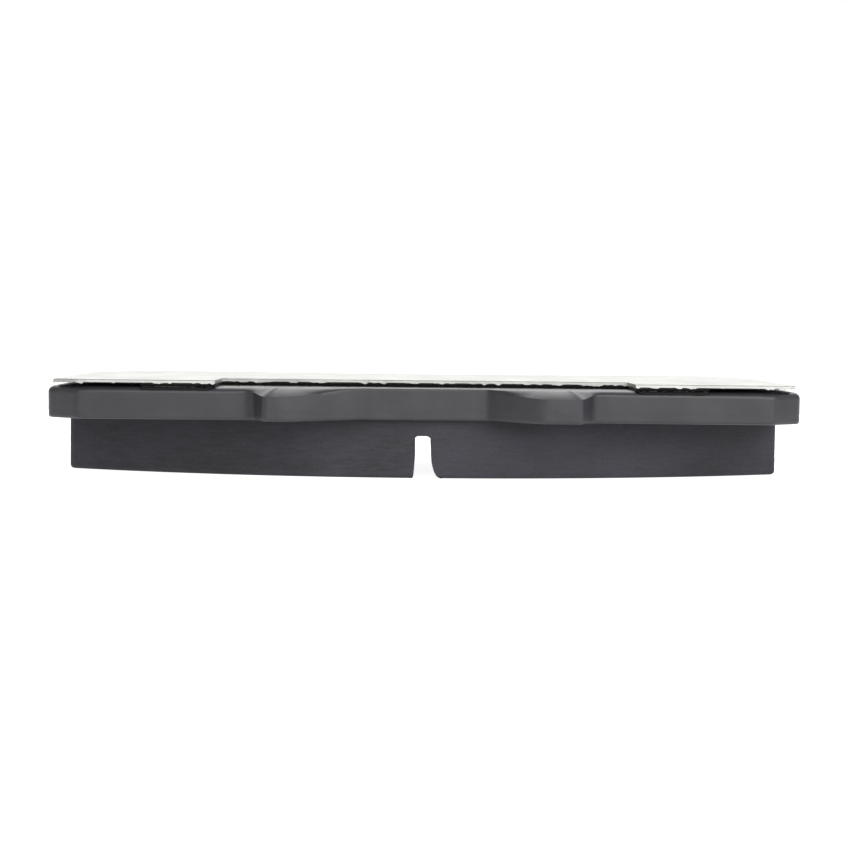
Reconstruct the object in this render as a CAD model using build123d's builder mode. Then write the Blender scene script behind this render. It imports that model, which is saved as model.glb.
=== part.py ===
"""Disc brake pad: a stamped steel plate with a pressed, slotted friction lining and a bonded shim stack.

Millimetres. The lining's rubbing face lies on z = 0 and the shims are on top, so +Z points away from
the disc. X runs along the pad, the way the disc turns. -Y points out to the disc's rim. The origin is
the middle of the pad's length and height, at the rubbing face.
"""

import math
import os

from build123d import *

# Steel plate, seen from the shim side
PLATE_LENGTH = 129.3
PLATE_HEIGHT = 60.0
PLATE_THICKNESS = 5.5
SHOULDER_SETBACK = 3.7  # the shoulders stand this far behind the tips of the two lugs
WAIST_SETBACK = 3.0  # the middle of the rim edge stands this far behind the shoulders
WAIST_HALF = 10.8  # both lugs ramp down to the flat waist between them
LEFT_LUG_RAMP_TOP = 23.6
LEFT_LUG_TIP_END = 27.2
LEFT_LUG_FOOT = 29.4
RIGHT_LUG_RAMP_TOP = 19.0
RIGHT_LUG_TIP_END = 26.2
RIGHT_LUG_FOOT = 28.8
FRONT_CORNER_RUN = 5.6
FRONT_CORNER_RISE = 4.0
BACK_CORNER_RUN = 8.6
BACK_CORNER_RISE = 12.0
INNER_EDGE_RISE = 4.5  # the middle of the inner edge arches this far towards the rim
FOOT_LENGTH = 11.0  # flat foot of the inner edge beside each back corner
LUG_TIP_RADIUS = 1.0
LUG_RAMP_RADIUS = 5.0
LUG_FOOT_RADIUS = 2.4
WAIST_RADIUS = 1.2
PLATE_CORNER_RADIUS = 2.0
DIE_ROLL = 0.8  # rounding that the blanking punch leaves round the shim side
BURR_EDGE = 0.25  # small break round the lining side

# Friction lining, underlayer and bond
LINING_THICKNESS = 7.9
UNDERLAYER_THICKNESS = 2.0
BOND_FILM = 0.1
DISC_RADIUS = 149.0  # the lining's rim edge follows the disc
LINING_RIM_SETBACK = 4.5  # middle of the lining's rim edge, behind the plate's shoulders
LINING_END_MARGIN = 0.25
LINING_INNER_MARGIN = 3.2
LINING_CORNER_RADIUS = 2.0
LINING_FACE_RADIUS = 0.6
SLOT_WIDTH = 3.0
SLOT_WEB = 0.6  # lining left over the slot, so that the block stays in one piece
SLOT_TOP_RADIUS = 0.9
SLOT_SHIFT = -0.4  # the slot's rim end, from the pad's middle line
SLOT_SKEW = 0.76  # degrees, between the slot and the pad's middle line
SLOT_FLARE_HEIGHT = 4.3  # one wall of the slot curves open towards the rubbing face
SLOT_FLARE_RISE = 4.45  # the curve is a quarter ellipse, with this height and width, cut off by the face
SLOT_FLARE_RUN = 1.85
KEY_HOLE_RADIUS = 4.5
KEY_CLEARANCE = 0.05
INNER_KEY_OFFSET = 17.0
OUTER_KEY_MARGIN = 15.0  # outer keys, in from the lining's ends

# Shim stack, from the plate outwards
ADHESIVE_FILM = 0.05
RUBBER_COAT = 0.1
INNER_SHIM_STEEL = 0.3
OUTER_SHIM_STEEL = 0.6
SHIM_WING_START = 35.7  # the shims reach out to the shoulders beyond this half-width
SHIM_EDGE_MARGIN = 0.4
SHIM_SIDE_MARGIN = 1.35
SHIM_WAIST_SETBACK = 8.0  # the shims' middle edge, behind the plate's middle edge
SHIM_INNER_MARGIN = 2.4
SHIM_TIP_RUN = 4.2
SHIM_TIP_RISE = 1.6
SHIM_CORNER_RADIUS = 0.8
INNER_SHIM_SHORTENING = 15.0  # the inner shim stops this far short of the outer one
FILM_INSET = 0.4  # adhesive films stop short of the edges that they hold

# Levels above the rubbing face
underlayer_z = LINING_THICKNESS
bond_z = underlayer_z + UNDERLAYER_THICKNESS
plate_z = bond_z + BOND_FILM
plate_top = plate_z + PLATE_THICKNESS

# Lines across the pad
half_length = PLATE_LENGTH / 2
lug_tip_y = -PLATE_HEIGHT / 2
shoulder_y = lug_tip_y + SHOULDER_SETBACK
waist_y = shoulder_y + WAIST_SETBACK
inner_y = PLATE_HEIGHT / 2
foot_end = half_length - BACK_CORNER_RUN
foot_start = foot_end - FOOT_LENGTH

# The lining is a slice of a ring about the disc's axis, so its ends point at that axis
lining_rim_y = shoulder_y + LINING_RIM_SETBACK
disc_axis_y = lining_rim_y + DISC_RADIUS
lining_half = half_length - LINING_END_MARGIN
half_angle = math.asin(lining_half / DISC_RADIUS)
lining_corner_y = disc_axis_y - DISC_RADIUS * math.cos(half_angle)
lining_inner_y = inner_y - LINING_INNER_MARGIN
lining_inner_half = (disc_axis_y - lining_inner_y) * math.tan(half_angle)
slot_depth = LINING_THICKNESS - SLOT_WEB


def round_corners(sketch, radii):
    """Round the sketch's corners; radii pairs a point near the corner with its radius."""
    for x, y, radius in radii:
        corner = sketch.vertices().sort_by_distance((x, y, 0))[0]
        fillet(corner, radius)


def save(piece, name):
    """Label a finished piece and write it as its own STEP file."""
    piece.part.label = name
    export_step(piece.part, f"parts/{name}.step")


os.makedirs("parts", exist_ok=True)

# Centres of the four key holes, on the circle half-way across the lining
key_circle = disc_axis_y - (lining_rim_y + lining_inner_y - INNER_EDGE_RISE) / 2
inner_key_angle = math.asin(INNER_KEY_OFFSET / key_circle)
outer_key_angle = half_angle - OUTER_KEY_MARGIN / key_circle
key_angles = (-outer_key_angle, -inner_key_angle, inner_key_angle, outer_key_angle)
key_centres = [
    (key_circle * math.sin(angle), disc_axis_y - key_circle * math.cos(angle)) for angle in key_angles
]

# Backing plate: blanked from flat steel, with two lugs on its rim edge
with BuildPart() as backing_plate:
    with BuildSketch(Plane.XY.offset(plate_z)) as plate_shape:
        with BuildLine():
            rim_points = [
                (-foot_start, inner_y),
                (-foot_end, inner_y),
                (-half_length, inner_y - BACK_CORNER_RISE),
                (-half_length, shoulder_y + FRONT_CORNER_RISE),
                (-half_length + FRONT_CORNER_RUN, shoulder_y),
                (-LEFT_LUG_FOOT, shoulder_y),
                (-LEFT_LUG_TIP_END, lug_tip_y),
                (-LEFT_LUG_RAMP_TOP, lug_tip_y),
                (-WAIST_HALF, waist_y),
                (WAIST_HALF, waist_y),
                (RIGHT_LUG_RAMP_TOP, lug_tip_y),
                (RIGHT_LUG_TIP_END, lug_tip_y),
                (RIGHT_LUG_FOOT, shoulder_y),
                (half_length - FRONT_CORNER_RUN, shoulder_y),
                (half_length, shoulder_y + FRONT_CORNER_RISE),
                (half_length, inner_y - BACK_CORNER_RISE),
                (foot_end, inner_y),
                (foot_start, inner_y),
            ]
            Polyline(*rim_points)
            ThreePointArc(rim_points[-1], (0, inner_y - INNER_EDGE_RISE), rim_points[0])
        make_face()
        round_corners(
            plate_shape,
            [
                (-foot_start, inner_y, PLATE_CORNER_RADIUS),
                (-foot_end, inner_y, PLATE_CORNER_RADIUS),
                (-half_length, inner_y - BACK_CORNER_RISE, PLATE_CORNER_RADIUS),
                (-half_length, shoulder_y + FRONT_CORNER_RISE, PLATE_CORNER_RADIUS),
                (-half_length + FRONT_CORNER_RUN, shoulder_y, PLATE_CORNER_RADIUS),
                (-LEFT_LUG_FOOT, shoulder_y, LUG_FOOT_RADIUS),
                (-LEFT_LUG_TIP_END, lug_tip_y, LUG_TIP_RADIUS),
                (-LEFT_LUG_RAMP_TOP, lug_tip_y, LUG_RAMP_RADIUS),
                (-WAIST_HALF, waist_y, WAIST_RADIUS),
                (WAIST_HALF, waist_y, WAIST_RADIUS),
                (RIGHT_LUG_RAMP_TOP, lug_tip_y, LUG_RAMP_RADIUS),
                (RIGHT_LUG_TIP_END, lug_tip_y, LUG_TIP_RADIUS),
                (RIGHT_LUG_FOOT, shoulder_y, LUG_FOOT_RADIUS),
                (half_length - FRONT_CORNER_RUN, shoulder_y, PLATE_CORNER_RADIUS),
                (half_length, shoulder_y + FRONT_CORNER_RISE, PLATE_CORNER_RADIUS),
                (half_length, inner_y - BACK_CORNER_RISE, PLATE_CORNER_RADIUS),
                (foot_end, inner_y, PLATE_CORNER_RADIUS),
                (foot_start, inner_y, PLATE_CORNER_RADIUS),
            ],
        )
    extrude(amount=PLATE_THICKNESS)
    fillet(backing_plate.edges().group_by(Axis.Z)[-1], DIE_ROLL)
    chamfer(backing_plate.edges().group_by(Axis.Z)[0], BURR_EDGE)
    with BuildSketch(Plane.XY.offset(plate_z)):
        with Locations(*key_centres):
            Circle(KEY_HOLE_RADIUS)
    extrude(amount=PLATE_THICKNESS, mode=Mode.SUBTRACT)
save(backing_plate, "backing_plate")

# Outline of the lining: a ring slice with its rim arc, two ends on radii, and a flatter inner arc
with BuildSketch() as lining_outline:
    with BuildLine():
        rim_left = (-lining_half, lining_corner_y)
        rim_right = (lining_half, lining_corner_y)
        inner_left = (-lining_inner_half, lining_inner_y)
        inner_right = (lining_inner_half, lining_inner_y)
        ThreePointArc(rim_left, (0, lining_rim_y), rim_right)
        Line(rim_right, inner_right)
        ThreePointArc(inner_right, (0, lining_inner_y - INNER_EDGE_RISE), inner_left)
        Line(inner_left, rim_left)
    make_face()
    fillet(lining_outline.vertices(), LINING_CORNER_RADIUS)

# Bond film between plate and underlayer, open over the key holes
with BuildPart() as bond_film:
    with BuildSketch(Plane.XY.offset(bond_z)):
        add(lining_outline.sketch)
        with Locations(*key_centres):
            Circle(KEY_HOLE_RADIUS, mode=Mode.SUBTRACT)
    extrude(amount=BOND_FILM)
save(bond_film, "bond_film")

# Underlayer, pressed into the plate's key holes and flush with the plate's shim side
with BuildPart() as underlayer:
    with BuildSketch(Plane.XY.offset(underlayer_z)):
        add(lining_outline.sketch)
    extrude(amount=UNDERLAYER_THICKNESS)
    with BuildSketch(Plane.XY.offset(bond_z)):
        with Locations(*key_centres):
            Circle(KEY_HOLE_RADIUS - KEY_CLEARANCE)
    extrude(amount=BOND_FILM + PLATE_THICKNESS)
save(underlayer, "underlayer")

# Friction lining: moulded block with one slot across it, from the rim edge to the inner edge
with BuildPart() as friction_lining:
    with BuildSketch():
        add(lining_outline.sketch)
    extrude(amount=LINING_THICKNESS)
    fillet(friction_lining.edges().group_by(Axis.Z)[0], LINING_FACE_RADIUS)
    skew = math.radians(SLOT_SKEW)
    slot_end = (SLOT_SHIFT + PLATE_HEIGHT * math.sin(skew), lining_rim_y + PLATE_HEIGHT * math.cos(skew), 0)
    slot_across = (math.cos(skew), -math.sin(skew), 0)
    slot_plane = Plane(slot_end, x_dir=slot_across, z_dir=(-math.sin(skew), -math.cos(skew), 0))
    with BuildSketch(slot_plane):
        with BuildLine():
            half_width = SLOT_WIDTH / 2
            flare_turn = math.degrees(math.asin(SLOT_FLARE_HEIGHT / SLOT_FLARE_RISE))
            flare_centre = (half_width + SLOT_FLARE_RUN, SLOT_FLARE_HEIGHT)
            flare = EllipticalCenterArc(flare_centre, SLOT_FLARE_RUN, SLOT_FLARE_RISE, 180, arc_size=flare_turn)
            Polyline((half_width, SLOT_FLARE_HEIGHT), (half_width, slot_depth), (-half_width, slot_depth))
            Polyline((-half_width, slot_depth), (-half_width, 0), flare @ 1)
        make_face()
    extrude(amount=2 * PLATE_HEIGHT, mode=Mode.SUBTRACT)
    slot_roof = friction_lining.faces().filter_by(Axis.Z).group_by(Axis.Z)[-2]
    fillet(slot_roof.edges().sort_by(SortBy.LENGTH)[-2:], SLOT_TOP_RADIUS)
save(friction_lining, "friction_lining")

# Outline of the outer shim: it follows the plate's edge, but stays back behind the lugs and the waist
with BuildSketch() as shim_outline:
    with BuildLine():
        outer_side = half_length - SHIM_SIDE_MARGIN
        shim_rim_y = shoulder_y + SHIM_EDGE_MARGIN
        shim_waist_y = waist_y + SHIM_WAIST_SETBACK
        shim_inner_y = inner_y - SHIM_INNER_MARGIN
        right_points = [
            (SHIM_WING_START, shim_waist_y),
            (SHIM_WING_START, shim_rim_y),
            (outer_side - SHIM_TIP_RUN, shim_rim_y),
            (outer_side, shim_rim_y + SHIM_TIP_RISE),
            (outer_side, shim_inner_y - BACK_CORNER_RISE),
            (outer_side - BACK_CORNER_RUN, shim_inner_y),
            (foot_start, shim_inner_y),
        ]
        left_points = [(-x, y) for x, y in reversed(right_points)]
        Polyline(*right_points)
        ThreePointArc(right_points[-1], (0, shim_inner_y - INNER_EDGE_RISE), left_points[0])
        Polyline(*left_points)
        Line(left_points[-1], right_points[0])
    make_face()
    fillet(shim_outline.vertices(), SHIM_CORNER_RADIUS)

# Shim stack: adhesive, rubber-coated inner shim, adhesive, and a longer steel outer shim
inner_side = outer_side - INNER_SHIM_SHORTENING
layers = [
    ("plate_adhesive", ADHESIVE_FILM, inner_side, FILM_INSET),
    ("inner_shim_rubber_plate_side", RUBBER_COAT, inner_side, 0),
    ("inner_shim_steel", INNER_SHIM_STEEL, inner_side, 0),
    ("inner_shim_rubber_outer_side", RUBBER_COAT, inner_side, 0),
    ("shim_adhesive", ADHESIVE_FILM, inner_side, FILM_INSET),
    ("outer_shim", OUTER_SHIM_STEEL, outer_side, 0),
]
level = plate_top
for name, thickness, side, inset in layers:
    with BuildPart() as layer:
        with BuildSketch(Plane.XY.offset(level)):
            add(shim_outline.sketch)
            Rectangle(2 * side, PLATE_HEIGHT, mode=Mode.INTERSECT)
            offset(amount=-inset, kind=Kind.INTERSECTION)
        extrude(amount=thickness)
    save(layer, name)
    level += thickness
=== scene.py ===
"""Disc brake pad lying on its lining: detailed meshes, finishes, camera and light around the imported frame.

Metres. +Z points through the pad from the lining's rubbing face to the shims, X runs along the pad, and
-Y points out to the disc's rim.
"""

import math

import bmesh
import bpy
import numpy as np
from mathutils import Matrix, Vector


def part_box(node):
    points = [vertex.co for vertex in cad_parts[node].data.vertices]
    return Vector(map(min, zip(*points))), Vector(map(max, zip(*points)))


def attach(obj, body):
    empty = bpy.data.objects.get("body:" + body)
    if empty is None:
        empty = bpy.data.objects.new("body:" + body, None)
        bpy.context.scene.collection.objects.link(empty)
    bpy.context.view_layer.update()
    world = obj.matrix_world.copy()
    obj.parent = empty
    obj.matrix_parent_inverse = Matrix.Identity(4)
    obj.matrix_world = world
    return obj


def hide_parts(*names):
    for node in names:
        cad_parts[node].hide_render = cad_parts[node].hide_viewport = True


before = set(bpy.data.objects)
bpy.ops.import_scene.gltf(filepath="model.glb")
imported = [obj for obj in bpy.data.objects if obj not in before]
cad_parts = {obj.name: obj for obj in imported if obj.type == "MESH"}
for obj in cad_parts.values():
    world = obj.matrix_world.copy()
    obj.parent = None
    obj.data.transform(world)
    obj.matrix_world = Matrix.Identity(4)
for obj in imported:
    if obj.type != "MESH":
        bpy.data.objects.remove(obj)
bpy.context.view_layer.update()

MM = 0.001
ROOT = "root"

# Backing plate
SHOULDER_SETBACK = 3.7 * MM  # the shoulders, behind the tips of the two lugs
WAIST_SETBACK = 3.0 * MM  # the middle of the rim edge, behind the shoulders
WAIST_HALF = 10.8 * MM
LEFT_LUG_RAMP_TOP = 23.6 * MM
LEFT_LUG_TIP_END = 27.2 * MM
LEFT_LUG_FOOT = 29.4 * MM
RIGHT_LUG_RAMP_TOP = 19.0 * MM
RIGHT_LUG_TIP_END = 26.2 * MM
RIGHT_LUG_FOOT = 28.8 * MM
FRONT_CORNER_RUN = 5.6 * MM
FRONT_CORNER_RISE = 4.0 * MM
BACK_CORNER_RUN = 8.6 * MM
BACK_CORNER_RISE = 12.0 * MM
INNER_EDGE_RISE = 4.5 * MM
FOOT_LENGTH = 11.0 * MM
LUG_TIP_RADIUS = 1.0 * MM
LUG_RAMP_RADIUS = 5.0 * MM
LUG_FOOT_RADIUS = 2.4 * MM
WAIST_RADIUS = 1.2 * MM
CORNER_RADIUS = 2.0 * MM
BURR_EDGE = 0.5 * MM
PLATE_STEP = 0.3 * MM  # spacing of the outline's points

# Lining
DISC_RADIUS = 149.0 * MM
LINING_END_MARGIN = 0.25 * MM
LINING_INNER_MARGIN = 3.2 * MM
LINING_CORNER_RADIUS = 2.0 * MM
LINING_FACE_RADIUS = 0.6 * MM
SLOT_HALF_WIDTH = 1.5 * MM
SLOT_WEB = 0.6 * MM
SLOT_TOP_RADIUS = 0.9 * MM
SLOT_EDGE_RADIUS = 0.35 * MM
SLOT_SHIFT = -0.4 * MM  # the slot's rim end, from the pad's middle line
SLOT_SKEW = math.radians(0.76)  # between the slot and the pad's middle line
SLOT_FLARE_HEIGHT = 4.3 * MM  # where one wall of the slot starts to curve open
SLOT_FLARE_RISE = 4.45 * MM  # the curve is a quarter ellipse, with this height and width
SLOT_FLARE_RUN = 1.85 * MM
SLOT_BLEND = 3.0 * MM  # the rim face follows the slot's wall over this width
LINING_STEP = 0.27 * MM

# Shims
SHIM_WING_START = 35.7 * MM
SHIM_WAIST_SETBACK = 8.0 * MM  # the shims' middle edge, behind the plate's
SHIM_TIP_RUN = 4.2 * MM
SHIM_TIP_RISE = 1.6 * MM
SHIM_STEP_SLANT = 0.12 * MM  # the notch's sides lean by this much

SHEET_STEP = 0.45 * MM
SHEET_ROWS = 60
SHEET_WAVE = 0.01 * MM  # how far the sheets' top faces are from flat
SHIM_BURR = 0.3 * MM  # how far the burr hangs down where the edge noise is 1
THIN_EDGE = 0.02 * MM  # broken corner of the inner shim's layers
SQUEEZE = 0.4 * MM  # the lower rubber coat, out past the shims' edge on the wings
SQUEEZE_BACK = 0.5 * MM  # its bend starts this far behind the shims' edge
SQUEEZE_SAG = 0.65 * MM

# Making of the surfaces
ARCH_POINTS = 48
BURR_LEVELS = 5  # levels in the plate's burr, wall and die roll
WALL_LEVELS = 15
ROLL_LEVELS = 13
SIDE_LEVELS = 24  # levels in the lining's wall, and in each of its rounded edges
EDGE_LEVELS = 6
CORNER_ROOM = 3  # points of an arc left out for the rounding of its end
MERGE = 0.0005 * MM  # points nearer than this are one
SHARP_ANGLE = math.radians(40)  # edges sharper than this are drawn crisp
MIX_STEPS = (73856093, 19349663, 83492791)  # large odd numbers that mix a lattice point into a random one
MIX_SEED = 2654435
MIX_SPREAD = 1274126177
FACE_RIM = 0.25 * MM  # flat strip round the large faces, which keeps their shading flat
LUG_ROLL = 1.3 * MM  # height of the die roll on the lugs, the shoulders and the waist
SHOULDER_ROLL = 0.75 * MM
WAIST_ROLL = 0.3 * MM
END_ROLL = 1.1 * MM
CORNER_ROLL = 0.3 * MM  # how much more it is round an outside corner, and less in a hollow
LUG_ROLL_SLOPE = 2.8  # the die roll's width over its height, on the lugs and elsewhere
ROLL_SLOPE = 1.15
LUG_ROLL_STEADY = 0.85  # share of the lugs' die roll that is a slope, not a quarter ellipse
SLOPE_BOW = 1.15  # how far that slope bows: 1 is straight
BEND_RUN = 5  # outline points that the bend, the hollows, the die roll and the painted shade are evened over
HOLLOW_RUN = 9
ROLL_RUN = 15
SHADE_RUN = 7
ROLL_EASE = 2.4 * MM  # the die roll's direction is evened over this length each way
TEAR_HEIGHT = 1.0 * MM  # torn lower part of the blanked edge
TEAR_WANDER = 0.7 * MM
TEAR_DEPTH = 0.02 * MM
TEAR_SOFTNESS = 0.05 * MM
WALL_ROUGHNESS = 0.008 * MM
LINING_ROUGHNESS = 0.022 * MM
LINING_STREAK = np.array([0.35, 0.6, 1.0])  # draws the noise out along the pad
PIT_LEVEL = 0.62  # the noise makes a pit where it is over this
PIT_DEPTH = 0.12 * MM  # for each 1 that it is over

# Finishes
PAINT_DARK = "#201f24"
PAINT_LIGHT = "#27262b"
# painted shade: the near black the paint is darkened to in the plate's inside corners
PAINTED_HOLLOW_SHADE = "#0c0c0d"
LINING_DARK = "#18181a"
LINING_LIGHT = "#34323a"
CRUMB_DARK = "#111112"
FLECK_PALE = "#65636a"
STEEL_LOW = "#a6a6a3"
STEEL_HIGH = "#bdbdb9"

# Stage
FLOOR_SIZE = 6.0
FLOOR_GLOW = 0.92
BOARD_DARK = "#98989a"
BOARD_LIGHT = "#9c9c9d"
ROOM_LIGHT = 0.5  # the room's light on the pad: the camera sees the room as white
SOFT_BOXES = [  # name, place, size, and power in watts
    ("over_box", (0.35, -0.72, 0.55), (1.5, 1.1), 16.0),
    ("back_box", (0.0, 0.9, 0.6), (1.6, 0.8), 7.5),
]

# Camera, from the middle of the lining's rim edge
EYE_DISTANCE = 300.0 * MM
EYE_HEIGHT = 27.0 * MM
EYE_SIDE = -4.0 * MM
LENS = 74.0
SENSOR = 36.0
PITCH = 3.388  # degrees, as are the next two
YAW = 0.765
ROLL = 0.6


def unit(vectors):
    """Each row divided by its length."""
    return vectors / np.maximum(np.linalg.norm(vectors, axis=-1, keepdims=True), 1e-12)


def evenly(points, step, closed):
    """The same path with points one step apart along its length, ends kept."""
    path = np.vstack([points, points[:1]]) if closed else points
    along = np.concatenate([[0.0], np.cumsum(np.linalg.norm(np.diff(path, axis=0), axis=1))])
    count = max(2, int(round(along[-1] / step)))
    at = np.linspace(0.0, along[-1], count + 1)
    even = np.stack([np.interp(at, along, path[:, k]) for k in range(path.shape[1])], axis=1)
    return even[:-1] if closed else even


def rounded(corners, closed=True):
    """Path through (x, y, radius) corners: at each one, the arc of that radius that touches both sides."""
    table = np.array(corners, float)
    points, radii = table[:, :2], table[:, 2]
    into = unit(points - np.roll(points, 1, axis=0))
    out = unit(np.roll(points, -1, axis=0) - points)
    turn = np.arctan2(into[:, 0] * out[:, 1] - into[:, 1] * out[:, 0], (into * out).sum(axis=1))
    if not closed:
        turn[[0, -1]] = 0.0
    dense = []
    for point, radius, start_way, bend in zip(points, radii, into, turn):
        if radius == 0.0 or abs(bend) < 1e-6:
            dense.append(point[None])
            continue
        start = point - start_way * radius * math.tan(abs(bend) / 2)
        side = np.array([-start_way[1], start_way[0]]) * math.copysign(radius, bend)
        angles = np.linspace(0.0, bend, 3 + int(abs(bend) / 0.08))
        spin = np.stack([np.cos(angles), np.sin(angles)], axis=1)
        arm = -side
        turned = np.stack([
            arm[0] * spin[:, 0] - arm[1] * spin[:, 1],
            arm[0] * spin[:, 1] + arm[1] * spin[:, 0],
        ], axis=1)
        dense.append(start + side + turned)
    return np.vstack(dense)


def inward(loop):
    """Unit normals into an anticlockwise loop, square to the chord between each point's neighbours."""
    along = unit(np.roll(loop, -1, axis=0) - np.roll(loop, 1, axis=0))
    return np.stack([-along[:, 1], along[:, 0]], axis=1)


def smooth_along(values, width):
    """Running mean of that many neighbours round a closed loop."""
    reach = width // 2
    return np.mean([np.roll(values, k, axis=0) for k in range(-reach, reach + 1)], axis=0)


def curvature(loop):
    """Turn per metre round an anticlockwise loop: positive on outside corners, negative in hollows."""
    ahead = np.roll(loop, -1, axis=0) - loop
    behind = loop - np.roll(loop, 1, axis=0)
    cross = behind[:, 0] * ahead[:, 1] - behind[:, 1] * ahead[:, 0]
    turn = np.arctan2(cross, (behind * ahead).sum(axis=1))
    return turn / np.linalg.norm(ahead, axis=1)


def grain(points, size, seed):
    """Value noise from -1 to 1: random heights on a lattice of that size.

    Each lattice point's height comes from its whole numbers, mixed by multiplying and exclusive or. Between
    lattice points the heights are blended by 3t^2 - 2t^3 on each axis.
    """
    cell = np.asarray(points) / size
    base = np.floor(cell).astype(np.int64)
    part = cell - base
    ease = part * part * (3 - 2 * part)
    total = np.zeros(cell.shape[:-1])
    for corner in np.ndindex(2, 2, 2):
        at = base + np.array(corner)
        scaled = at * np.array(MIX_STEPS)
        mixed = scaled[..., 0] ^ scaled[..., 1] ^ scaled[..., 2] ^ (seed * MIX_SEED)
        mixed = ((mixed ^ (mixed >> 13)) * MIX_SPREAD) & 0x7FFFFFFF
        height = ((mixed >> 8) & 0xFFFF) / 32767.5 - 1.0
        weight = np.where(np.array(corner) == 1, ease, 1 - ease).prod(axis=-1)
        total += height * weight
    return total


def band(levels, count, closed=True):
    """Quads between stacked rings of points. They face outwards where rings are anticlockwise and rise."""
    lower = np.arange(count if closed else count - 1)
    upper = (lower + 1) % count
    rows = np.arange(levels - 1)[:, None] * count
    corners = [rows + lower, rows + upper, rows + count + upper, rows + count + lower]
    return np.stack(corners, axis=-1).reshape(-1, 4)


def make_piece(name, parts, label=None):
    """One closed mesh from (points, quads, long outlines) parts, with points that meet merged.

    A part may have a fourth value, a number for each of its points, kept as the attribute called label.
    """
    points = np.vstack([part[0].reshape(-1, 3) for part in parts])
    starts = np.cumsum([0] + [part[0].size // 3 for part in parts])
    faces = []
    for part, start in zip(parts, starts):
        faces.extend((part[1] + start).tolist())
        faces.extend((outline + start).tolist() for outline in part[2])
    mesh = bpy.data.meshes.new(name)
    mesh.from_pydata(points.tolist(), [], faces)
    if label is not None:
        values = np.concatenate([np.ravel(part[3]) for part in parts]).astype(np.float32)
        mesh.attributes.new(label, "FLOAT", "POINT").data.foreach_set("value", values)
    edit = bmesh.new()
    edit.from_mesh(mesh)
    bmesh.ops.remove_doubles(edit, verts=edit.verts, dist=MERGE)
    edit.to_mesh(mesh)
    edit.free()
    mesh.polygons.foreach_set("use_smooth", np.ones(len(mesh.polygons), bool))
    mesh.set_sharp_from_angle(angle=SHARP_ANGLE)
    piece = bpy.data.objects.new(name, mesh)
    bpy.context.scene.collection.objects.link(piece)
    return piece


def arch(half, end_y, rise, count):
    """Points from (half, end_y) round to (-half, end_y) on a circle. Half way it is rise nearer the rim."""
    radius = (half * half + rise * rise) / (2 * rise)
    turn = math.asin(half / radius)
    angle = np.linspace(turn, -turn, count)
    return np.stack([radius * np.sin(angle), end_y - rise + radius - radius * np.cos(angle)], axis=1)


def sharp_points(points):
    """Corners with no rounding, for rounded()."""
    return [(x, y, 0.0) for x, y in points.tolist()]


def plate_outline():
    """The plate's outline, anticlockwise: straight runs and arcs, two lugs and an arched inner edge."""
    low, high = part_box("backing_plate")
    half, lug_y, inner_y = high.x, low.y, high.y
    shoulder_y = lug_y + SHOULDER_SETBACK
    waist_y = shoulder_y + WAIST_SETBACK
    foot_end = half - BACK_CORNER_RUN
    foot_start = foot_end - FOOT_LENGTH
    left = [
        (-foot_start, inner_y, CORNER_RADIUS),
        (-foot_end, inner_y, CORNER_RADIUS),
        (-half, inner_y - BACK_CORNER_RISE, CORNER_RADIUS),
        (-half, shoulder_y + FRONT_CORNER_RISE, CORNER_RADIUS),
        (-half + FRONT_CORNER_RUN, shoulder_y, CORNER_RADIUS),
    ]
    lugs = [
        (-LEFT_LUG_FOOT, shoulder_y, LUG_FOOT_RADIUS),
        (-LEFT_LUG_TIP_END, lug_y, LUG_TIP_RADIUS),
        (-LEFT_LUG_RAMP_TOP, lug_y, LUG_RAMP_RADIUS),
        (-WAIST_HALF, waist_y, WAIST_RADIUS),
        (WAIST_HALF, waist_y, WAIST_RADIUS),
        (RIGHT_LUG_RAMP_TOP, lug_y, LUG_RAMP_RADIUS),
        (RIGHT_LUG_TIP_END, lug_y, LUG_TIP_RADIUS),
        (RIGHT_LUG_FOOT, shoulder_y, LUG_FOOT_RADIUS),
    ]
    right = [(-x, y, radius) for x, y, radius in reversed(left)]
    inner_arch = sharp_points(arch(foot_start, inner_y, INNER_EDGE_RISE, ARCH_POINTS)[1:-1])
    return evenly(rounded(left + lugs + right + inner_arch), PLATE_STEP, closed=True)


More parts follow.
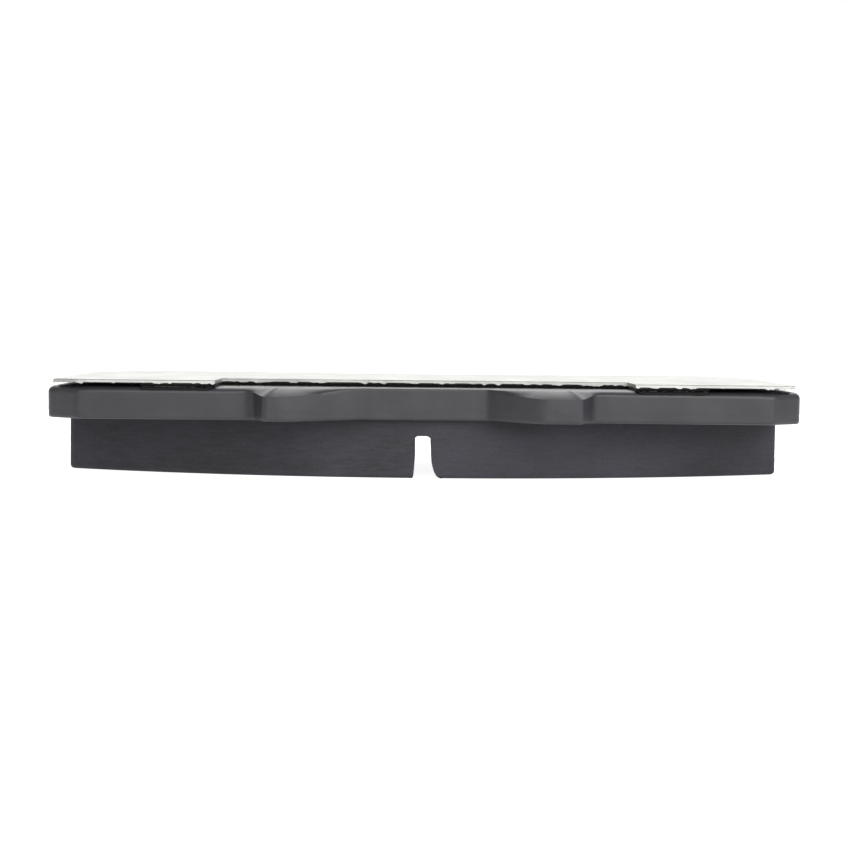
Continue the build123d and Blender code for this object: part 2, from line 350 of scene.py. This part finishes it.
def make_plate():
    """Stamped plate: each outline point carries a vertical profile.

    From the bottom up: a small burr arc; a wall whose lower part, torn by the die, lies a little deeper than
    the sheared upper part; and a die roll. The roll is a quarter ellipse, tallest on the lugs and least in
    the hollows, and on the lugs it is mostly an even slope. A flat strip borders both large faces.
    """
    low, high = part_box("backing_plate")
    loop = plate_outline()
    bend = smooth_along(curvature(loop), BEND_RUN)
    normal = inward(loop)
    shoulder_y = low.y + SHOULDER_SETBACK
    stand_out = [low.y, shoulder_y, shoulder_y + WAIST_SETBACK, shoulder_y + 2 * WAIST_SETBACK]
    base_roll = np.interp(loop[:, 1], stand_out, [LUG_ROLL, SHOULDER_ROLL, WAIST_ROLL, SHOULDER_ROLL])
    base_roll[np.abs(loop[:, 0]) > high.x - FRONT_CORNER_RUN] = END_ROLL
    outside = np.clip(bend * MM, 0.0, 1.0)
    hollow = smooth_along(np.clip(-bend * 2 * MM, 0.0, 1.0), HOLLOW_RUN)
    roll_height = smooth_along(base_roll + CORNER_ROLL * (outside - hollow), ROLL_RUN)
    slope_from = low.y + 0.5 * SHOULDER_SETBACK
    slope_to = shoulder_y + 0.5 * WAIST_SETBACK
    slope = np.interp(loop[:, 1], [slope_from, slope_to], [LUG_ROLL_SLOPE, ROLL_SLOPE])
    roll_width = smooth_along(slope * roll_height, ROLL_RUN)
    steady = LUG_ROLL_STEADY * np.clip((slope - ROLL_SLOPE) / (LUG_ROLL_SLOPE - ROLL_SLOPE), 0.0, 1.0)
    roll_way = unit(smooth_along(normal, 2 * int(ROLL_EASE / PLATE_STEP) + 1))
    rough = np.column_stack([loop, np.zeros(len(loop))])
    wander = grain(rough, 5 * MM, 3) + 0.4 * grain(rough, 1.2 * MM, 4)
    tear = np.clip(TEAR_HEIGHT + TEAR_WANDER * wander, 0.0, None)
    rings = [(BURR_EDGE + FACE_RIM, low.z)]
    quarter = np.linspace(0.0, math.pi / 2, BURR_LEVELS)
    for angle in quarter[:-1]:
        rings.append((BURR_EDGE * (1 - math.sin(angle)), low.z + BURR_EDGE * (1 - math.cos(angle))))
    wall_foot = low.z + BURR_EDGE
    wall_height = high.z - roll_height - wall_foot
    for share in np.linspace(0.0, 1.0, WALL_LEVELS):
        z = wall_foot + wall_height * share
        torn = 1 / (1 + np.exp((z - wall_foot - tear) / TEAR_SOFTNESS))
        rings.append((TEAR_DEPTH * torn, z))
    wall_rings = len(rings)
    for share in np.linspace(0.0, 1.0, ROLL_LEVELS)[1:]:
        angle = share * math.pi / 2
        inset = roll_width * (steady * share + (1 - steady) * (1 - math.cos(angle)))
        drop = roll_height * (steady * (1 - share) ** SLOPE_BOW + (1 - steady) * (1 - math.sin(angle)))
        rings.append((inset, high.z - drop))
    rings.append((roll_width + FACE_RIM, high.z))
    count = len(loop)
    points = np.empty((len(rings), count, 3))
    for level, (inset, z) in enumerate(rings):
        way = normal if level < wall_rings else roll_way
        points[level, :, :2] = loop + way * np.broadcast_to(inset, count)[:, None]
        points[level, :, 2] = z
    texture = WALL_ROUGHNESS * (grain(points, 0.9 * MM, 5) + 0.5 * grain(points, 0.4 * MM, 6))
    texture[:BURR_LEVELS] = 0.0
    texture[-4:] = 0.0
    points[..., :2] += normal * texture[..., None]
    last = (len(rings) - 1) * count
    outlines = [np.arange(count)[::-1], last + np.arange(count)]
    # painted shade: how far each point lies in an inside corner, kept as the hollow attribute that darkens
    # the paint
    shade = np.broadcast_to(smooth_along(hollow, SHADE_RUN), (len(rings), count))
    part = (points, band(len(rings), count), outlines, shade)
    return make_piece("stamped_backing_plate", [part], "hollow")


def lining_half_outline():
    """Right half of the lining, anticlockwise from the slot: its outside path and its slot wall."""
    low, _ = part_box("friction_lining")
    _, plate_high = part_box("backing_plate")
    axis_y = low.y + DISC_RADIUS
    half = plate_high.x - LINING_END_MARGIN
    turn = math.asin(half / DISC_RADIUS)
    inner_y = plate_high.y - LINING_INNER_MARGIN
    inner_half = (axis_y - inner_y) * math.tan(turn)
    angle = np.linspace(math.asin(SLOT_HALF_WIDTH / DISC_RADIUS), turn, ARCH_POINTS)
    rim = np.stack([DISC_RADIUS * np.sin(angle), axis_y - DISC_RADIUS * np.cos(angle)], axis=1)
    inner = arch(inner_half, inner_y, INNER_EDGE_RISE, 2 * ARCH_POINTS)
    inner = inner[inner[:, 0] > SLOT_HALF_WIDTH]
    inner_mouth = np.array([[SLOT_HALF_WIDTH, inner_y - INNER_EDGE_RISE]])
    turns = [(*rim[-1], LINING_CORNER_RADIUS), (*inner[0], LINING_CORNER_RADIUS)]
    inner_edge = np.vstack([inner[CORNER_ROOM:], inner_mouth])
    corners = sharp_points(rim[:-CORNER_ROOM]) + turns + sharp_points(inner_edge)
    outside = evenly(rounded(corners, closed=False), LINING_STEP, closed=False)
    wall = evenly(np.array([outside[-1], outside[0]]), 2 * LINING_STEP, closed=False)
    return outside, wall[1:-1]


def moulded_dents(points, normal):
    """Sideways shift of the moulded wall: noise drawn out along the pad, and pits where noise peaks."""
    coarse = grain(points * LINING_STREAK, 1.6 * MM, 11)
    fine = grain(points * LINING_STREAK, 0.7 * MM, 12)
    pits = np.clip(grain(points, 1.1 * MM, 13) - PIT_LEVEL, 0.0, None) * PIT_DEPTH
    return normal * (LINING_ROUGHNESS * (coarse + 0.7 * fine) + pits)[..., None]


def make_underlayer():
    """Layer between the lining and the bond film: the lining's outline and dents, and no slot."""
    outside, _ = lining_half_outline()
    loop = np.vstack([outside, (outside * np.array([-1.0, 1.0]))[::-1]])
    levels = np.linspace(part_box("underlayer")[0].z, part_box("bond_film")[0].z, 8)
    points = np.empty((len(levels), len(loop), 3))
    points[..., :2] = loop
    points[..., 2] = levels[:, None]
    points[..., :2] += moulded_dents(points, inward(loop))
    ring = np.arange(len(loop))
    outlines = [ring[::-1], (len(levels) - 1) * len(loop) + ring]
    return make_piece("pressed_underlayer", [(points, band(len(levels), len(loop)), outlines)])


def make_lining():
    """Moulded block in two halves under one web, split by the slot.

    Each half is an outline that carries levels from the rubbing face to the slot's roof. Its slot wall, and
    the rim face beside it, shift sideways with height: outwards along the flare's quarter ellipse near the
    rubbing face on one side, and inwards along the roof's corner arcs. They also lean by the slot's skew.
    Over the roof the web carries both outlines up to the top.
    """
    low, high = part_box("friction_lining")
    outside, wall = lining_half_outline()
    roof = high.z - SLOT_WEB
    levels = np.concatenate([
        [low.z],
        low.z + LINING_FACE_RADIUS * (1 - np.cos(np.linspace(0.0, math.pi / 2, EDGE_LEVELS))),
        np.linspace(low.z + LINING_FACE_RADIUS, roof - SLOT_TOP_RADIUS, SIDE_LEVELS)[1:],
        roof - SLOT_TOP_RADIUS * (1 - np.sin(np.linspace(0.0, math.pi / 2, EDGE_LEVELS)))[1:],
    ])
    edge_share = np.sin(np.linspace(0.0, math.pi / 2, EDGE_LEVELS))
    face_inset = np.concatenate([1 - edge_share[:1], 1 - edge_share, np.zeros(len(levels) - 1 - EDGE_LEVELS)])
    face_rim = np.where(np.arange(len(levels)) == 0, FACE_RIM, 0.0)
    below = np.clip(low.z + SLOT_FLARE_HEIGHT - levels, 0.0, None) / SLOT_FLARE_RISE
    flare = SLOT_FLARE_RUN * (1 - np.sqrt(1 - below**2))
    over = np.clip(levels - (roof - SLOT_TOP_RADIUS), 0.0, None)
    tuck = SLOT_TOP_RADIUS - np.sqrt(np.clip(SLOT_TOP_RADIUS**2 - over**2, 0.0, None))
    parts = []
    outer_count, wall_count = len(outside), len(wall)
    count = outer_count + wall_count
    roof_edges = []
    for side, wall_shift in ((1, flare - tuck), (-1, -tuck)):
        loop = np.vstack([outside, wall])
        normal = inward(loop)
        near = np.clip(1 - (loop[:, 0] - SLOT_HALF_WIDTH) / SLOT_BLEND, 0.0, 1.0)
        radius = np.where(np.arange(count) < outer_count, LINING_FACE_RADIUS, SLOT_EDGE_RADIUS)
        radius = smooth_along(radius, 5)
        points = np.empty((len(levels), count, 3))
        points[..., :2] = loop + normal * (face_inset[:, None] * radius + face_rim[:, None])[..., None]
        points[..., 0] += wall_shift[:, None] * near
        points[..., 0] *= side
        points[..., 0] += (SLOT_SHIFT + math.tan(SLOT_SKEW) * (loop[:, 1] - low.y)) * near
        points[..., 2] = levels[:, None]
        points[..., :2] += moulded_dents(points, normal * np.array([side, 1.0]))
        quads = band(len(levels), count)
        outline = np.arange(count)[::-1]
        if side < 0:
            quads, outline = quads[:, ::-1], outline[::-1]
        parts.append((points, quads, [outline]))
        roof_edges.append(points[-1])
    right, left = roof_edges
    top_lift = np.array([0.0, 0.0, SLOT_WEB])
    mouth = np.linspace(0.0, 1.0, 5)[:, None]
    rim_mouth = left[0] + (right[0] - left[0]) * mouth
    inner_mouth = right[outer_count - 1] + (left[outer_count - 1] - right[outer_count - 1]) * mouth
    left_back = left[:outer_count][::-1]
    web_loop = np.vstack([right[:outer_count], inner_mouth[1:-1], left_back, rim_mouth[1:-1]])
    web = np.stack([web_loop, web_loop + top_lift])
    parts.append((web, band(2, len(web_loop)), [len(web_loop) + np.arange(len(web_loop))]))
    right_wall = np.vstack([right[:1], right[outer_count:][::-1], right[outer_count - 1 : outer_count]])
    left_wall = np.vstack([left[:1], left[outer_count:][::-1], left[outer_count - 1 : outer_count]])
    strip = left_wall[None] + (right_wall - left_wall)[None] * mouth[:, :, None]
    parts.append((strip, band(len(mouth), len(left_wall), closed=False), []))
    return make_piece("slotted_friction_lining", parts)


def shim_front(x):
    """The shims' rim edge at x: forward on the wings, back across the notch, cut off at the corners."""
    plate_low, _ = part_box("backing_plate")
    low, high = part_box("outer_shim")
    notch_y = plate_low.y + SHOULDER_SETBACK + WAIST_SETBACK + SHIM_WAIST_SETBACK
    stops = [SHIM_WING_START - SHIM_STEP_SLANT, SHIM_WING_START, high.x - SHIM_TIP_RUN, high.x]
    return np.interp(np.abs(x), stops, [notch_y, low.y, low.y, low.y + SHIM_TIP_RISE])


def shim_back(x):
    """The shims' inner edge at x: the plate's arch, a flat foot each side, and cut-off back corners."""
    _, plate_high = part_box("backing_plate")
    _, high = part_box("outer_shim")
    foot_start = plate_high.x - BACK_CORNER_RUN - FOOT_LENGTH
    radius = (foot_start**2 + INNER_EDGE_RISE**2) / (2 * INNER_EDGE_RISE)
    inside = np.minimum(np.abs(x), foot_start)
    arc = high.y - INNER_EDGE_RISE + radius - np.sqrt(radius**2 - inside**2)
    cut = np.interp(np.abs(x), [high.x - BACK_CORNER_RUN, high.x], [0.0, BACK_CORNER_RISE])
    return arc - cut


def make_sheet(name, node, seed, wander, edge, squeeze=0.0, burr=0.0):
    """Thin sheet over the node's box: points run evenly across in x, and from rim edge to inner edge in y.

    The outermost row all round is dropped by the edge's size, which breaks the corner, and the edges wander
    by noise as a sheared edge does. The underside is the same grid. A sheet that is squeezed out reaches
    that much further forward on the wings, and bends down over the plate's die roll there. A burr hangs
    down from the rim edge where the noise is high.
    """
    low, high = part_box(node)
    across = np.linspace(low.x + edge, high.x - edge, int((high.x - low.x) / SHEET_STEP))
    steps = SHIM_WING_START - np.array([0.0, SHIM_STEP_SLANT])
    across = np.unique(np.concatenate([[low.x, high.x], across, steps, -steps]))
    across = across[(across >= low.x) & (across <= high.x)]
    flat = np.column_stack([across, np.zeros_like(across), np.zeros_like(across)])
    ragged = grain(flat, 0.8 * MM, seed) + 0.6 * grain(flat, 0.35 * MM, seed + 1)
    on_wing = np.clip((np.abs(across) - SHIM_WING_START) / MM, 0.0, 1.0)
    front = shim_front(across) + wander * (1 + ragged) - squeeze * on_wing
    back = shim_back(across) - wander * (1 + grain(flat, 0.8 * MM, seed + 2))
    depth = np.linspace(0.0, 1.0, SHEET_ROWS)
    y = (front + edge)[:, None] + depth * (back - front - 2 * edge)[:, None]
    y = np.concatenate([front[:, None], y, back[:, None]], axis=1)
    grid = np.empty((*y.shape, 3))
    grid[..., 0] = across[:, None]
    grid[..., 1] = y
    wave = SHEET_WAVE * grain(grid * np.array([1.0, 1.0, 0.0]), 14 * MM, seed + 3)
    drop = np.zeros(y.shape)
    drop[[0, -1], :] = edge
    drop[:, [0, -1]] = edge
    past = np.clip((shim_front(across) + SQUEEZE_BACK)[:, None] - y, 0.0, None)
    sag = SQUEEZE_SAG * (past / (squeeze + SQUEEZE_BACK)) ** 2 * on_wing[:, None] if squeeze else 0.0
    top, bottom = grid.copy(), grid.copy()
    top[..., 2] = high.z - drop + wave - sag
    bottom[..., 2] = low.z + drop - sag
    bottom[:, 0, 2] -= burr * np.clip(ragged, 0.0, None)
    nx, ny = y.shape
    index = np.arange(nx * ny).reshape(nx, ny)
    sides = [index[:-1, 0], index[-1, :-1], index[1:, -1][::-1], index[0, 1:][::-1]]
    border = np.concatenate(sides)
    corners = [index[:-1, :-1], index[1:, :-1], index[1:, 1:], index[:-1, 1:]]
    quads = np.stack(corners, axis=-1).reshape(-1, 4)
    walls = np.stack([bottom.reshape(-1, 3)[border], top.reshape(-1, 3)[border]])
    parts = [(top, quads, []), (bottom, quads[:, ::-1], []), (walls, band(2, len(border)), [])]
    return make_piece(name, parts)


def hex_colour(code):
    """sRGB hex to linear RGBA."""
    parts = np.array([int(code[k : k + 2], 16) for k in (1, 3, 5)]) / 255
    linear = np.where(parts <= 0.04045, parts / 12.92, ((parts + 0.055) / 1.055) ** 2.4)
    return (*linear.tolist(), 1.0)


def add(tree, kind, settings=None, inputs=None):
    """One shader node: settings are its properties, and inputs are values or the sockets that feed it."""
    made = tree.nodes.new("ShaderNode" + kind)
    for key, value in (settings or {}).items():
        setattr(made, key, value)
    for key, value in (inputs or {}).items():
        if isinstance(value, bpy.types.NodeSocket):
            tree.links.new(value, made.inputs[key])
        else:
            made.inputs[key].default_value = value
    return made


def start_finish(name, inputs):
    """A material with its shader's fixed values set, and its tree, its shader and its coordinates."""
    finish = bpy.data.materials.new(name)
    finish.use_nodes = True
    tree = finish.node_tree
    tree.nodes.clear()
    shader = add(tree, "BsdfPrincipled", inputs=inputs)
    add(tree, "OutputMaterial", inputs={"Surface": shader.outputs["BSDF"]})
    place = add(tree, "TexCoord").outputs["Object"]
    return finish, tree, shader, place


def noise(tree, place, size, detail=2.0, roughness=0.5, stretch=(1.0, 1.0, 1.0)):
    """Noise from 0 to 1 with that grain size in metres, drawn out along the axes whose stretch is over 1."""
    squeeze = add(tree, "Mapping", inputs={"Vector": place, "Scale": tuple(1 / k for k in stretch)})
    values = {"Vector": squeeze.outputs[0], "Scale": 1 / size, "Detail": detail, "Roughness": roughness}
    return add(tree, "TexNoise", inputs=values).outputs["Fac"]


def spread(tree, value, low, high, to_low, to_high):
    """value, taken from low..high to to_low..to_high and held at the ends."""
    sides = {"Value": value, "From Min": low, "From Max": high, "To Min": to_low, "To Max": to_high}
    return add(tree, "MapRange", inputs=sides).outputs["Result"]


def blend(tree, share, first, second, mode="MIX"):
    """Colour between first and second: sockets 0, 6, 7 and 2 are the mix's factor, colours and result."""
    settings = {"data_type": "RGBA", "blend_type": mode}
    return add(tree, "Mix", settings, {0: share, 6: first, 7: second}).outputs[2]


def black_satin_paint():
    """Black electrocoat, baked on: soft sheen, orange peel of about 0.7 mm, and painted shade that darkens
    the inside corners.
    """
    finish, tree, shader, place = start_finish("black_electrocoat", {"IOR": 1.5, "Specular IOR Level": 0.5})
    cloud = noise(tree, place, 6 * MM, detail=3.0)
    peel = noise(tree, place, 0.7 * MM, detail=1.0)
    drawn = noise(tree, place, 0.5 * MM, detail=2.0, stretch=(1.0, 1.0, 8.0))
    share = spread(tree, cloud, 0.35, 0.65, 0.0, 1.0)
    tone = blend(tree, share, hex_colour(PAINT_DARK), hex_colour(PAINT_LIGHT))
    # painted shade: the hollow attribute darkens the paint to near black in the inside corners
    hollow = add(tree, "Attribute", {"attribute_name": "hollow"}).outputs["Fac"]
    shaded = blend(tree, spread(tree, hollow, 0.05, 0.9, 0.0, 0.8), tone, hex_colour(PAINTED_HOLLOW_SHADE))
    tree.links.new(shaded, shader.inputs["Base Color"])
    tree.links.new(spread(tree, cloud, 0.3, 0.7, 0.34, 0.42), shader.inputs["Roughness"])
    first = add(tree, "Bump", inputs={"Height": peel, "Strength": 0.3, "Distance": 0.04 * MM})
    grooves = {"Height": drawn, "Strength": 0.25, "Distance": 0.03 * MM, "Normal": first.outputs[0]}
    tree.links.new(add(tree, "Bump", inputs=grooves).outputs[0], shader.inputs["Normal"])
    return finish


def friction_mix():
    """Moulded friction material: dull resin and filler in cloudy tones, drawn out in fine streaks along the
    pad, with darker rubber crumbs of about 0.5 mm and faint pale specks."""
    sheen = {"IOR": 1.5, "Specular IOR Level": 0.35}
    finish, tree, shader, place = start_finish("moulded_friction_mix", sheen)
    cloud = noise(tree, place, 11 * MM, detail=3.0, roughness=0.6, stretch=(2.5, 2.5, 1.0))
    streak = noise(tree, place, 0.55 * MM, detail=4.0, roughness=0.65, stretch=(6.0, 3.0, 1.0))
    crumb = noise(tree, place, 0.55 * MM, detail=2.0)
    fleck = noise(tree, place, 0.3 * MM, detail=0.0)
    shares = {0: spread(tree, cloud, 0.35, 0.65, 0.0, 0.5), 1: spread(tree, streak, 0.3, 0.7, -0.1, 0.6)}
    mottle = add(tree, "Math", {"operation": "ADD"}, shares).outputs[0]
    tone = blend(tree, mottle, hex_colour(LINING_DARK), hex_colour(LINING_LIGHT))
    dotted = blend(tree, spread(tree, crumb, 0.6, 0.7, 0.0, 0.3), tone, hex_colour(CRUMB_DARK))
    flecked = blend(tree, spread(tree, fleck, 0.76, 0.8, 0.0, 0.1), dotted, hex_colour(FLECK_PALE))
    tree.links.new(flecked, shader.inputs["Base Color"])
    tree.links.new(spread(tree, streak, 0.3, 0.7, 0.6, 0.8), shader.inputs["Roughness"])
    coarse = add(tree, "Bump", inputs={"Height": streak, "Strength": 0.6, "Distance": 0.1 * MM})
    crumbs = {"Height": crumb, "Strength": 0.5, "Distance": 0.06 * MM, "Normal": coarse.outputs[0]}
    tree.links.new(add(tree, "Bump", inputs=crumbs).outputs[0], shader.inputs["Normal"])
    return finish


def shim_steel():
    """Bright cold-rolled strip steel: pale, half-matt and cloudy, with fine rolling lines along the pad."""
    finish, tree, shader, place = start_finish("bright_rolled_steel", {"Metallic": 1.0})
    line = noise(tree, place, 0.25 * MM, detail=3.0, roughness=0.6, stretch=(60.0, 1.0, 1.0))
    cloud = noise(tree, place, 9 * MM, detail=3.0, roughness=0.6)
    share = spread(tree, cloud, 0.3, 0.7, 0.0, 1.0)
    tone = blend(tree, share, hex_colour(STEEL_LOW), hex_colour(STEEL_HIGH))
    tree.links.new(tone, shader.inputs["Base Color"])
    tree.links.new(spread(tree, line, 0.3, 0.7, 0.36, 0.5), shader.inputs["Roughness"])
    bump = add(tree, "Bump", inputs={"Height": line, "Strength": 0.25, "Distance": 0.01 * MM})
    tree.links.new(bump.outputs[0], shader.inputs["Normal"])
    return finish


def plain_finish(name, low, high, size, roughness, bump, metallic=0.0):
    """A thin layer's finish: two close tones clouded at that grain size, with bump of that depth."""
    finish, tree, shader, place = start_finish(name, {"Metallic": metallic, "Specular IOR Level": 0.3})
    cloud = noise(tree, place, size, detail=3.0, roughness=0.6)
    tone = blend(tree, spread(tree, cloud, 0.3, 0.7, 0.0, 1.0), hex_colour(low), hex_colour(high))
    tree.links.new(tone, shader.inputs["Base Color"])
    dulled = spread(tree, cloud, 0.3, 0.7, roughness - 0.08, roughness + 0.08)
    tree.links.new(dulled, shader.inputs["Roughness"])
    relief = add(tree, "Bump", inputs={"Height": cloud, "Strength": 0.5, "Distance": bump})
    tree.links.new(relief.outputs[0], shader.inputs["Normal"])
    return finish


def wear(piece, finish):
    """The piece shows that finish only."""
    piece.data.materials.clear()
    piece.data.materials.append(finish)


def build_pad():
    """Every visible piece with its finish, riding on the pad's one body."""
    paint = black_satin_paint()
    mix = friction_mix()
    steel = shim_steel()
    # Matt black rubber, read as the dark line between the plate and the bright shim
    rubber = plain_finish("nitrile_rubber_coat", "#050505", "#0c0c0c", 0.8 * MM, 0.8, 0.02 * MM)
    # Dark phosphate on steel, a dull edge inside the same line
    core = plain_finish("phosphated_steel", "#121213", "#1c1c1e", 1.2 * MM, 0.6, 0.01 * MM, metallic=1.0)
    # Cream adhesive, a hair line between the layers
    glue = plain_finish("acrylic_adhesive", "#8d8878", "#a39e8d", 2.0 * MM, 0.3, 0.01 * MM)
    # Brown cured resin, a hair line under the plate
    resin = plain_finish("phenolic_bond_resin", "#2b2420", "#3a302a", 1.5 * MM, 0.6, 0.02 * MM)
    plate = make_plate()
    lining = make_lining()
    underlayer = make_underlayer()
    bright_sheet = make_sheet("outer_shim_sheet", "outer_shim", 21, 0.03 * MM, 0.13 * MM, burr=SHIM_BURR)
    core_sheet = make_sheet("inner_shim_core_sheet", "inner_shim_steel", 31, 0.03 * MM, THIN_EDGE)
    lower_node = "inner_shim_rubber_plate_side"
    upper_node = "inner_shim_rubber_outer_side"
    lower_coat = make_sheet("inner_shim_rubber_below", lower_node, 41, 0.08 * MM, THIN_EDGE, SQUEEZE)
    upper_coat = make_sheet("inner_shim_rubber_above", upper_node, 51, 0.06 * MM, THIN_EDGE)
    made = [
        (plate, "backing_plate", "black_paint", paint),
        (lining, "friction_lining", "friction_mix", mix),
        (underlayer, "underlayer", "underlayer_mix", mix),
        (bright_sheet, "outer_shim", "bright_steel", steel),
        (core_sheet, "inner_shim_steel", "coated_steel", core),
        (lower_coat, lower_node, "rubber_coat", rubber),
        (upper_coat, upper_node, "rubber_coat", rubber),
    ]
    for piece, node, slot, finish in made:
        wear(piece, finish)
        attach(piece, ROOT)
        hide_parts(node)
    kept = {"bond_film": resin, "plate_adhesive": glue, "shim_adhesive": glue}
    for node, finish in kept.items():
        wear(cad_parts[node], finish)


def build_stage():
    """Pale board, white room, and soft boxes: one high in front at the right, one behind."""
    bpy.ops.mesh.primitive_plane_add(size=FLOOR_SIZE)
    floor = bpy.context.object
    floor.name = "pale_board"
    glow_white = {"Roughness": 0.7, "Emission Color": (1.0, 1.0, 1.0, 1.0)}
    board, tree, shader, place = start_finish("pale_board", glow_white)
    tone = blend(tree, noise(tree, place, 60 * MM), hex_colour(BOARD_DARK), hex_colour(BOARD_LIGHT))
    tree.links.new(tone, shader.inputs["Base Color"])
    shader.inputs["Emission Strength"].default_value = FLOOR_GLOW
    wear(floor, board)
    world = bpy.data.worlds.new("white_room")
    world.use_nodes = True
    glow = world.node_tree.nodes["Background"]
    glow.inputs["Color"].default_value = (1.0, 1.0, 1.0, 1.0)
    seen = add(world.node_tree, "LightPath").outputs["Is Camera Ray"]
    strength = spread(world.node_tree, seen, 0.0, 1.0, ROOM_LIGHT, 1.0)
    world.node_tree.links.new(strength, glow.inputs["Strength"])
    bpy.context.scene.world = world
    for name, at, size, power in SOFT_BOXES:
        light = bpy.data.lights.new(name, "AREA")
        light.shape = "RECTANGLE"
        light.size, light.size_y = size
        light.energy = power
        box = bpy.data.objects.new(name, light)
        box.location = at
        box.rotation_euler = (-Vector(at)).to_track_quat("-Z", "Y").to_euler()
        bpy.context.scene.collection.objects.link(box)
    view = bpy.context.scene.view_settings
    view.view_transform = "Standard"
    view.look = "None"


def build_camera():
    """Camera in front of the rim edge, a little above the shims and looking along the slot."""
    low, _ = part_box("friction_lining")
    lens = bpy.data.cameras.new("edge_view")
    lens.lens = LENS
    lens.sensor_width = SENSOR
    lens.clip_start = 10 * MM
    camera = bpy.data.objects.new("edge_view", lens)
    turn = Matrix.Rotation(math.radians(-YAW), 4, "Z")
    tilt = Matrix.Rotation(math.radians(90.0 - PITCH), 4, "X")
    lean = Matrix.Rotation(math.radians(ROLL), 4, "Z")
    eye = Matrix.Translation((EYE_SIDE, low.y - EYE_DISTANCE, EYE_HEIGHT))
    camera.matrix_world = eye @ turn @ tilt @ lean
    bpy.context.scene.collection.objects.link(camera)
    bpy.context.scene.camera = camera


build_pad()
build_stage()
build_camera()
